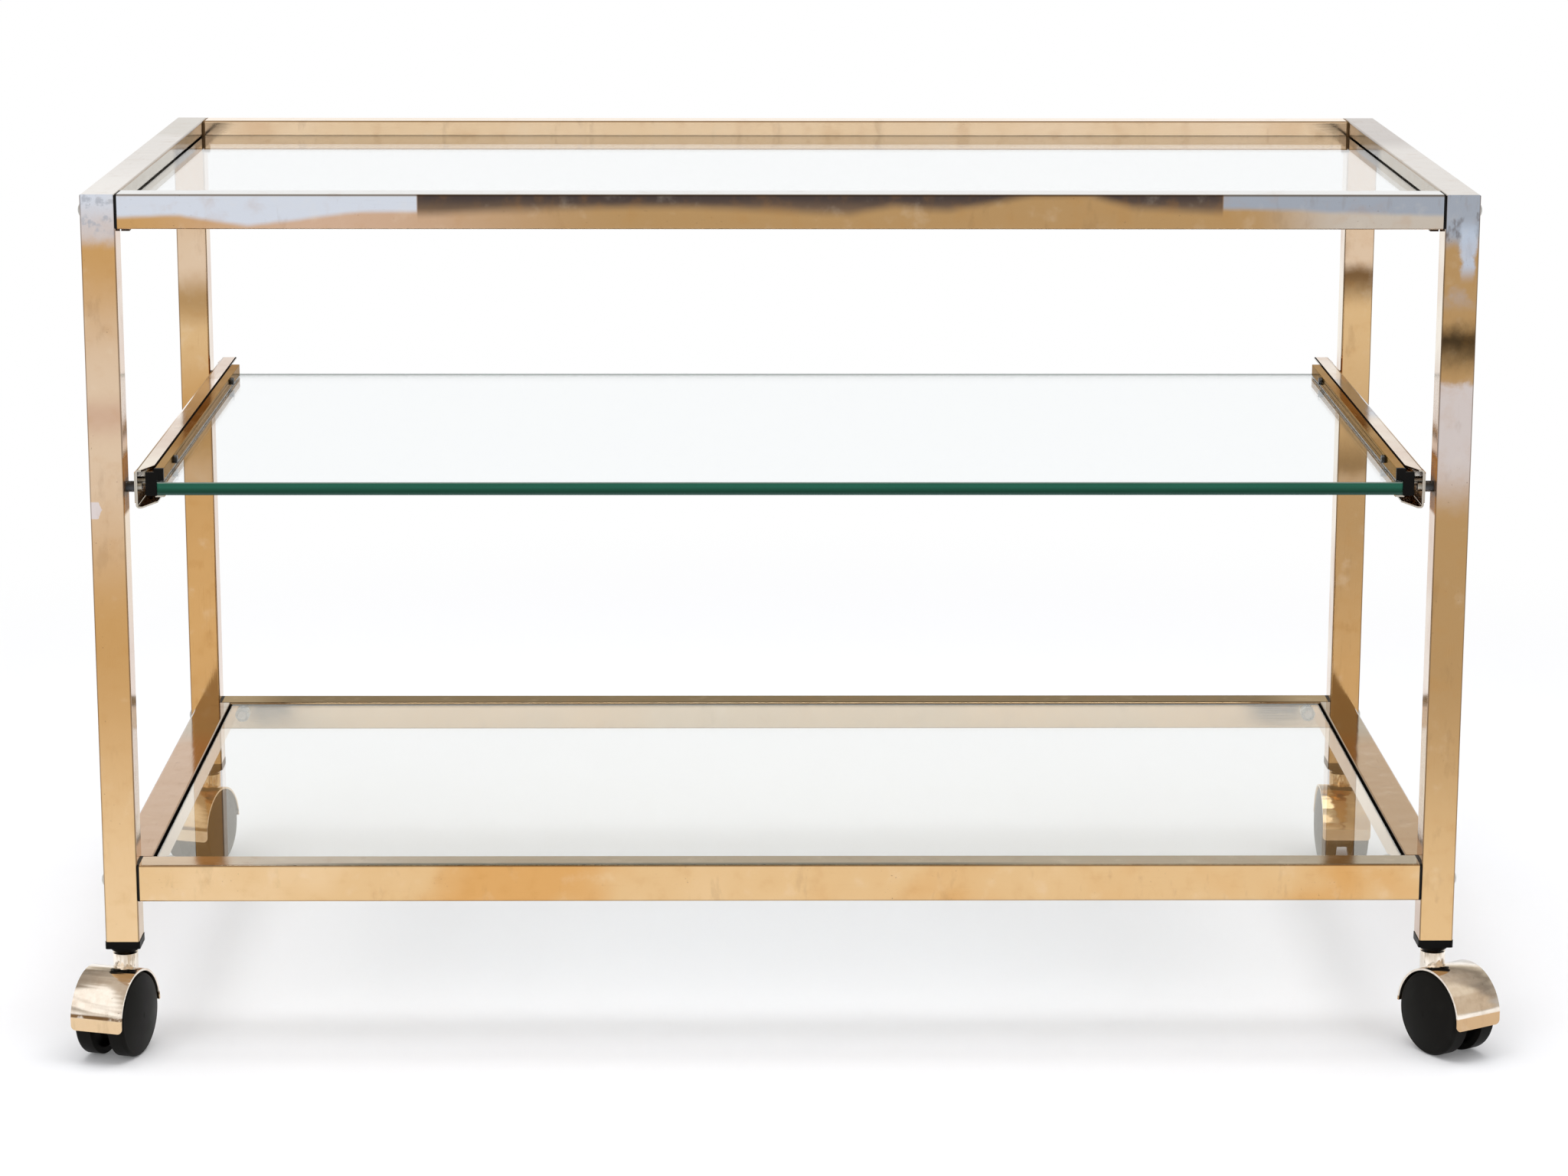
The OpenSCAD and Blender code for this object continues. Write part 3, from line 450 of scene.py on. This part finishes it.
def top_back_tone(f, place, x, y, z):
    """A bright painted reflection above the glass, and painted shade dulling it below."""
    above = f.blend(f.rise(f.noise(place, 7, 3), 0.3, 0.7), WARM_WHITE, WARM_CREAM)
    return f.blend(f.rise(z, PANE_TOP, PANE_TOP - 0.001), above, DULL_BACK)


def top_side_tone(f, place, x, y, z):
    """Cream; the top faces greyer towards the back and on the right, a painted reflection; brown
    far corners on the inner faces.
    """
    across, deep, up = f.facing()
    run = y - MIDDLE_Y
    left = tones_along(f, run, SIDE_HALF, (-230, IVORY), (0, DOVE), (100, DOVE), (150, OLIVE_GREY))
    right = tones_along(f, run, SIDE_HALF, (-190, DOVE), (0, DOVE), (100, TAUPE))
    top = f.blend(f.rise(x, -0.1, 0.1), left, right)
    colour = f.blend(f.rise(up, 0.75, 0.95), even_tone(CREAM, PALE_GOLD)(f, place, x, y, z), top)
    inside = tones_along(f, run, SIDE_HALF, (40, OLIVE_GREY), (75, WALNUT), (160, WALNUT),
                         (190, TAUPE))
    return f.blend(f.rise(x * across, -0.2, -0.4), colour, inside)


def lower_side_tone(f, place, x, y, z):
    """Rose above, greyer at the back and on the right, a painted reflection; pale gold inner
    faces, painted black along the glass as painted shade.
    """
    across, deep, up = f.facing()
    run = y - MIDDLE_Y
    left = tones_along(f, run, SIDE_HALF, (80, ROSE_GOLD), (150, DOVE))
    right = tones_along(f, run, SIDE_HALF, (80, TAN), (150, OLIVE_GREY))
    top = f.blend(f.rise(x, -0.1, 0.1), left, right)
    colour = f.blend(f.rise(up, 0.75, 0.95), even_tone(ROSE_GOLD, GOLD)(f, place, x, y, z), top)
    inner = f.rise(x * across, -0.2, -0.4)
    colour = f.blend(inner, colour, PALE_GOLD)
    # Painted shade: the top strip of the inner faces, beside the glass, painted black
    f.gap = inner * f.rise(z, LOWER_TOP - 0.009, LOWER_TOP - 0.0086)
    return colour


def lower_front_tone(f, place, x, y, z):
    """Gold, with a cream to olive upper face, a painted reflection, and a dark line along its front
    edge.
    """
    up = f.facing()[2]
    run = y - MIDDLE_Y
    top = tones_along(f, x, FRONT_HALF, (-450, BLUSH), (-380, DOVE), (-200, OLIVE_GREY))
    edge = f.rise(run, -0.2505, -0.2525) * f.band(x, -0.35, 0.17, 0.06)
    top = f.blend(edge * 0.8, top, DARK_EDGE)
    plain = even_tone(PALE_GOLD, GOLD, DEEP_GOLD)(f, place, x, y, z)
    return f.blend(f.rise(up, 0.6, 0.9), plain, top)


def lower_back_tone(f, place, x, y, z):
    """Gold, with a dull upper face, a painted reflection, lighter towards the ends."""
    top = f.blend(f.rise(abs(x), 0.41, 0.46), DULL_TOP, DULL_TOP_END)
    plain = even_tone(PALE_GOLD, PLAIN_BACK)(f, place, x, y, z)
    return f.blend(f.rise(f.facing()[2], 0.75, 0.95), plain, top)


def slide_tone(f, place, x, y, z):
    """Cream above, with a band of painted reflection on the outer parts, cream on the left and blue
    on the right, and amber on the web towards the leg, a painted reflection of it; grey where the
    sheet is cut or shaded, and a line of painted shade on the upper faces at the channel's mouth.
    """
    across, deep, up = f.facing()
    colour = even_tone(CREAM, ROSE_GOLD)(f, place, x, y, z)
    mirrored = f.band(y - MIDDLE_Y, -0.04, 0.13, 0.02) * f.rise(abs(x), 0.4542, 0.4545)
    bright = f.blend(f.rise(x, -0.1, 0.1), SHEET_CREAM, SHEET_BLUE)
    colour = f.blend(mirrored, colour, bright)
    side = f.add("Math", {"operation": "SIGN"}, {0: x}) * across
    colour = f.blend(f.rise(side, 0.5, 0.9), colour, AMBER_REFLECTION)
    grey = f.largest(f.rise(side, -0.5, -0.9), f.rise(deep, -0.5, -0.9))
    colour = f.blend(grey * 0.85, colour, CUT_SHEET)
    web = f.rise(side, -0.5, -0.9) * f.rise(abs(x), WEB_X + 0.0005, WEB_X)
    # Painted shade: a dark line along the channel's mouth, on its upper faces
    f.gap = f.rise(up, 0.3, 0.6) * f.band(abs(x), RUNNER_X - 0.0011, RUNNER_X + 0.0013, 0.0001)
    return f.blend(web, colour, WEB_TAN)


def hood_tone(f, place, x, y, z):
    """Painted reflections: pale over the bend, paler gold on the back hoods, a speckled crease of
    painted shade on the left, and a gold lip below it, tan on the right.
    """
    cloud = f.noise(place, 150, 4)
    pale = f.blend(f.rise(cloud, 0.35, 0.7) * 0.5, HOOD_REFLECTION_CREAM, HOOD_REFLECTION_GREY)
    back = f.rise(y - MIDDLE_Y, 0.0, 0.05)
    pale = f.blend(back, pale, PALE_GOLD)
    # Painted shade: a speckled dark line along the crease
    crease = f.band(z, HOOD_LOW + 0.0095, HOOD_LOW + 0.0125, 0.0008) * f.rise(x, 0.1, -0.1)
    pale = f.blend(crease * f.rise(cloud, 0.25, 0.5), pale, BRONZE)
    lip = f.rise(z, HOOD_LOW + LIP_RISE, HOOD_LOW + LIP_RISE - 0.001)
    return f.blend(lip, pale, f.blend(f.rise(x, -0.1, 0.1), LIP_GOLD, LIP_TAN))


def glass(name, edge, low, high, through):
    """Clear float glass with a coloured, ground edge. through is what passes the faces."""
    f = new_finish(name)
    up = f.axes(f.add("NewGeometry").out("True Normal"))[2]
    faces = f.rise(abs(up), 0.55, 0.8)
    place = f.place()
    z = f.axes(place)[2]
    # Painted shade and a painted highlight up the edge's height
    tone = f.ramp((z - low) / (high - low), edge, "LINEAR")
    tone = f.blend(f.rise(f.noise(f.stretch(place, (9, 9, 400)), 1, 3), 0.4, 0.7) * 0.3,
                   tone, GLASS_CLOUD)
    blotch = f.noise(place, 22, 4)
    clear = f.add("BsdfPrincipled", {}, {"Base Color": GLASS_TINT, "Transmission Weight": 1.0,
                                         "IOR": 1.5,
                                         "Roughness": f.rise(blotch, 0.5, 0.9) * 0.02})
    side = f.add("BsdfPrincipled", {}, {"Base Color": tone, "Roughness": 0.25,
                                        "Specular IOR Level": 0.12})
    solid = f.add("MixShader", {}, {0: faces, 1: side, 2: clear})
    passing = f.add("BsdfTransparent", {}, {"Color": through})
    shadow = f.add("LightPath").out("Is Shadow Ray")
    return f.surface(f.add("MixShader", {}, {0: shadow, 1: solid, 2: passing}))


def plastic(name, colour, roughness, grain=900, shine=0.14, corner=None):
    """Moulded plastic: fine grain and clouds of pale dust. corner is for the far top ends."""
    f = new_finish(name)
    place = f.place()
    clouds = f.noise(place, 60, 5)
    lighter = tuple(min(1, c * 1.6 + 0.004) for c in colour[:3]) + (1,)
    tone = f.blend(f.rise(clouds, 0.45, 0.8) * 0.5, colour, lighter)
    if corner:
        x, y, z = f.axes(place)
        high = f.rise(z, 0.55, 0.58) * f.rise(y - MIDDLE_Y, 0.1, 0.2)
        tone = f.blend(high, tone, corner)
    rough = roughness + (clouds - 0.5) * 0.25
    normal = f.bump(f.noise(place, grain, 2), 0.00004, 0.6)
    return f.surface(f.add("BsdfPrincipled", {}, {"Base Color": tone, "Roughness": rough,
                                                  "Specular IOR Level": shine, "Normal": normal}))


def steel(name, colour, roughness=0.22):
    """Bright steel with turning marks and faint stains."""
    f = new_finish(name)
    place = f.place()
    patches = f.noise(place, 90, 4)
    tone = f.blend(f.rise(patches, 0.5, 0.75) * 0.5, colour, ZINC)
    marks = f.noise(f.stretch(place, (2600, 900, 900)), 1, 2)
    return f.surface(f.add("BsdfPrincipled", {}, {
        "Base Color": tone, "Metallic": 1.0, "Roughness": roughness + patches * 0.15,
        "Normal": f.bump(marks, 0.00002, 0.5)}))


def clear_plastic(name):
    """Soft, hazy plastic."""
    f = new_finish(name)
    haze = f.noise(f.place(), 300, 3)
    return f.surface(f.add("BsdfPrincipled", {}, {
        "Base Color": CLEAR_PLASTIC, "Transmission Weight": 0.75, "IOR": 1.45,
        "Roughness": 0.18 + haze * 0.2}))


# ---- dressing the frame's pieces ----

def dress(material, *names, bevel=0.0):
    """Gives nodes a finish, and their sharp edges a small round."""
    for name in names:
        piece = nodes[name]
        piece.data.materials.clear()
        piece.data.materials.append(material)
        if bevel:
            weld = piece.modifiers.new("weld", "WELD")
            weld.merge_threshold = 0.000002
            round_edge = piece.modifiers.new("edges", "BEVEL")
            round_edge.width = bevel
            round_edge.segments = 2
            round_edge.limit_method = "ANGLE"
            round_edge.angle_limit = math.radians(35)
            round_edge.harden_normals = True


def each_corner(ending):
    return [corner + ending for corner in CORNERS]


def dress_legs():
    dress(brass("leg_brass_left", "z", LEFT_LEG), "front_left_leg")
    dress(brass("leg_brass_right", "z", RIGHT_LEG), "front_right_leg")
    dress(brass("leg_brass_back_left", "z", BACK_LEFT_LEG), "back_left_leg")
    dress(brass("leg_brass_back_right", "z", BACK_RIGHT_LEG), "back_right_leg")


def dress_rails():
    dress(brass("top_front_brass", "x", top_front_tone, edge_reflection=0.4), "top_front_rail")
    dress(brass("top_back_brass", "x", top_back_tone, edge_reflection=0.4), "top_back_rail")
    dress(brass("top_side_brass", "y", top_side_tone, edge_reflection=0.4), "top_left_rail", "top_right_rail")
    dress(brass("lower_front_brass", "x", lower_front_tone, edge_reflection=0.4), "lower_front_rail")
    dress(brass("lower_back_brass", "x", lower_back_tone, glance=LOWER_GLANCE), "lower_back_rail")
    dress(brass("lower_side_brass", "y", lower_side_tone), "lower_left_rail", "lower_right_rail")


def dress_slides():
    dress(brass("slide_brass", "y", slide_tone, 0.08, edge_reflection=0.0),
          "left_outer_channel", "right_outer_channel", "slide_plates", bevel=HAIRLINE)
    dress(brass("moving_rail_brass", "y", slide_tone, 0.08, edge_reflection=0.0, glance=RAIL_GLANCE),
          "left_moving_rail", "right_moving_rail", bevel=HAIRLINE)


def dress_glass():
    panes = (("top_glass", GLASS_THIN), ("lower_glass", GLASS_THIN), ("shelf_glass", GLASS_TEAL))
    for pane, edge in panes:
        low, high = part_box(pane)
        dress(glass(pane + "_clear", edge, low.z, high.z, GLASS_SHADOW), pane, bevel=PANE_ROUND)


def dress_plastic():
    black = plastic("nylon_black", NYLON_BLACK, 0.42, 900, 0.07)
    dress(black, "leg_end_caps", "moving_rail_caps", *each_corner("_carrier"), bevel=HAIRLINE)
    dress(plastic("plug_black", NYLON_BLACK, 0.42, corner=PLUG_BROWN), "rail_end_plugs",
          bevel=HAIRLINE)
    dress(black, "front_left_roller", "front_right_roller", "rear_left_roller",
          "rear_right_roller")
    wheel = plastic("wheel_black", WHEEL_BLACK, 0.4, 700, 0.05)
    dress(wheel, *each_corner("_wheel_a"), *each_corner("_wheel_b"))
    dress(plastic("lug_brown", BROWN, 0.5), "top_support_lugs", bevel=LUG_ROUND)
    dress(clear_plastic("clear_sleeve"), "pin_sleeves", "shelf_gaskets")


def dress_steel():
    dress(steel("bright_steel", STEEL), "frame_bolts", "slide_screws", "front_roller_studs",
          "rear_roller_studs", "lower_support_pins", *each_corner("_axle"))
    dress(steel("dark_steel", DARK_STEEL, 0.35), "slide_spacers", "shelf_grip_screws")


def dress_casters():
    hood = brass("hood_brass", "x", hood_tone, 0.07, edge_reflection=0.0)
    dress(hood, *each_corner("_hood"), bevel=HAIRLINE)
    stem = brass("stem_brass", "z", even_tone(DEEP_GOLD, GOLD), 0.12, 0.0, STEM_GLANCE)
    dress(stem, *each_corner("_stem"))


# ---- studio ----

FLOOR_HALF = 14.0
FLOOR_PAPER = (0.79, 0.795, 0.815, 1)   # near the trolley
FLOOR_PLAIN = (0.8, 0.8, 0.8, 1)        # as light from the floor meets other things
UNDER_SHADE = (0.45, 0.45, 0.45, 1)     # of the floor's lift, under the trolley
FLOOR_LIFT = 0.12


def seen_rays(f):
    """1 for rays from the camera, from a mirror or through glass."""
    path = f.add("LightPath")
    seen = path.out("Is Camera Ray") + path.out("Is Glossy Ray") + path.out("Is Transmission Ray")
    return f.add("Math", {"operation": "MINIMUM"}, {0: seen, 1: 1.0})


def floor():
    """A pale sheet, lit near the trolley and plain white further off."""
    mesh = bpy.data.meshes.new("floor")
    s = FLOOR_HALF
    mesh.from_pydata([(-s, -s, 0), (s, -s, 0), (s, s, 0), (-s, s, 0)], [], [(0, 1, 2, 3)])
    plane = bpy.data.objects.new("floor", mesh)
    bpy.context.scene.collection.objects.link(plane)
    f = new_finish("floor_paper")
    x, y, z = f.axes(f.place())
    away = f.add("Math", {"operation": "SQRT"}, {0: x * x + y * y})
    oval = x * x * 2.4 + (y - MIDDLE_Y) * (y - MIDDLE_Y) * 4
    under = f.add("Math", {"operation": "SQRT"}, {0: oval})
    shade = f.blend(f.rise(under, 1.2, 0.3), WHITE, UNDER_SHADE)
    lit = f.add("BsdfDiffuse", {}, {"Color": FLOOR_PAPER})
    lift = f.add("Emission", {}, {"Color": shade, "Strength": FLOOR_LIFT})
    near = f.add("AddShader", {}, {0: lit, 1: lift})
    far = f.add("Emission", {}, {"Color": WHITE, "Strength": 1.0})
    pale = f.add("MixShader", {}, {0: f.rise(away, 0.9, 1.7), 1: near, 2: far})
    plain = f.add("BsdfDiffuse", {}, {"Color": FLOOR_PLAIN})
    mesh.materials.append(f.surface(f.add("MixShader", {}, {0: seen_rays(f), 1: plain, 2: pale})))


def softbox(name, place, aim, size, power):
    """A soft lamp that neither the camera nor polished metal sees."""
    lamp = bpy.data.lights.new(name, "AREA")
    lamp.shape = "RECTANGLE"
    lamp.size, lamp.size_y = size
    lamp.energy = power
    thing = bpy.data.objects.new(name, lamp)
    bpy.context.scene.collection.objects.link(thing)
    thing.location = place
    thing.rotation_euler = (Vector(aim) - Vector(place)).to_track_quat("-Z", "Y").to_euler()
    thing.visible_camera = False
    thing.visible_glossy = False


# What polished metal sees over the floor, by the height of the view, before and behind it
FRONT_SKY = [(0.0, srgb("#f2eee8")), (0.16, srgb("#e2dcd4")), (0.5, srgb("#c9c0b6")),
             (0.8, srgb("#c2b7aa")), (1.0, srgb("#c4b8aa"))]
BACK_SKY = [(0.0, WHITE), (0.2, WHITE), (0.28, srgb("#efeae0")), (0.38, srgb("#bdb5a7")),
            (0.55, srgb("#8d857a")), (0.7, srgb("#a0968a")), (1.0, srgb("#c4b8aa"))]
SIDE_SKY = srgb("#8b837b")
WINDOW_PALE = (1.12, 1.1, 1.07, 1)
WINDOW_DIM = (0.88, 0.84, 0.8, 1)
WALL_LOW = (0.6, 0.5, 0.39, 1)
WALL_HIGH = (0.76, 0.68, 0.57, 1)
SOFT_LIGHT = (0.55, 0.55, 0.55, 1)


def world():
    """A white surround. For the metal to reflect, it has a duller ceiling and sides, a
    window band at the front left and a wall at the front right.
    """
    scene = bpy.context.scene
    scene.world = bpy.data.worlds.new("studio")
    scene.world.use_nodes = True
    f = Finish(scene.world.node_tree)
    way = f.add("TexCoord").out("Generated")
    x, y, z = f.axes(way)
    back = f.rise(y, -0.1, 0.15)
    climb = f.blend(back, f.ramp(z, FRONT_SKY), f.ramp(z, BACK_SKY))
    side = f.rise(abs(x), 0.6, 0.95) * f.rise(z, 0.0, 0.12)
    metal = f.blend(side * 0.7, climb, SIDE_SKY)
    left = f.rise(x, -0.1, -0.35) * (1 - back)
    window = left * f.band(z, 0.2, 0.95, 0.03)
    pane = f.blend(f.band(z, 0.42, 0.5, 0.05), WINDOW_PALE, WINDOW_DIM)
    metal = f.blend(window, metal, pane)
    right = f.rise(x, 0.1, 0.35) * (1 - back) * f.band(z, 0.1, 0.95, 0.03)
    wall = f.blend(f.rise(z, 0.5, 0.8), WALL_LOW, WALL_HIGH)
    metal = f.blend(right, metal, wall)
    path = f.add("LightPath")
    soft = f.blend(path.out("Is Diffuse Ray"), WHITE, SOFT_LIGHT)
    colour = f.blend(path.out("Is Glossy Ray"), soft, metal)
    surround = f.add("Background", {}, {"Color": colour, "Strength": 1.0})
    f.add("OutputWorld", {}, {"Surface": surround})


def studio():
    floor()
    world()
    softbox("overhead", (0.0, -0.4, 3.2), (0, MIDDLE_Y, 0.2), (3.6, 2.6), 88)
    softbox("front_fill", (-1.8, -3.4, 2.2), (0, MIDDLE_Y, 0.4), (2.4, 2.0), 22)


SENSOR = 36.0                     # mm wide
LENS = 94.15                      # mm
EYE = (-0.024, -3.171, 1.004)     # y from the middle of the frame's depth
PITCH = math.radians(12.60)
YAW = math.radians(0.52)
ROLL = math.radians(0.09)


def camera():
    """The photograph's view: fitted to the corners of the frame."""
    lens = bpy.data.cameras.new("view")
    lens.sensor_fit = "HORIZONTAL"
    lens.sensor_width = SENSOR
    lens.lens = LENS
    lens.clip_end = 100
    eye = bpy.data.objects.new("view", lens)
    bpy.context.scene.collection.objects.link(eye)
    turn = (Matrix.Rotation(-YAW, 4, "Z") @ Matrix.Rotation(math.radians(90) - PITCH, 4, "X")
            @ Matrix.Rotation(ROLL, 4, "Z"))
    x, y, z = EYE
    eye.matrix_world = Matrix.Translation((x, MIDDLE_Y + y, z)) @ turn
    bpy.context.scene.camera = eye


dress_legs()
dress_rails()
dress_slides()
dress_casters()
dress_glass()
dress_plastic()
dress_steel()
studio()
camera()
bpy.context.scene.view_settings.view_transform = "Standard"
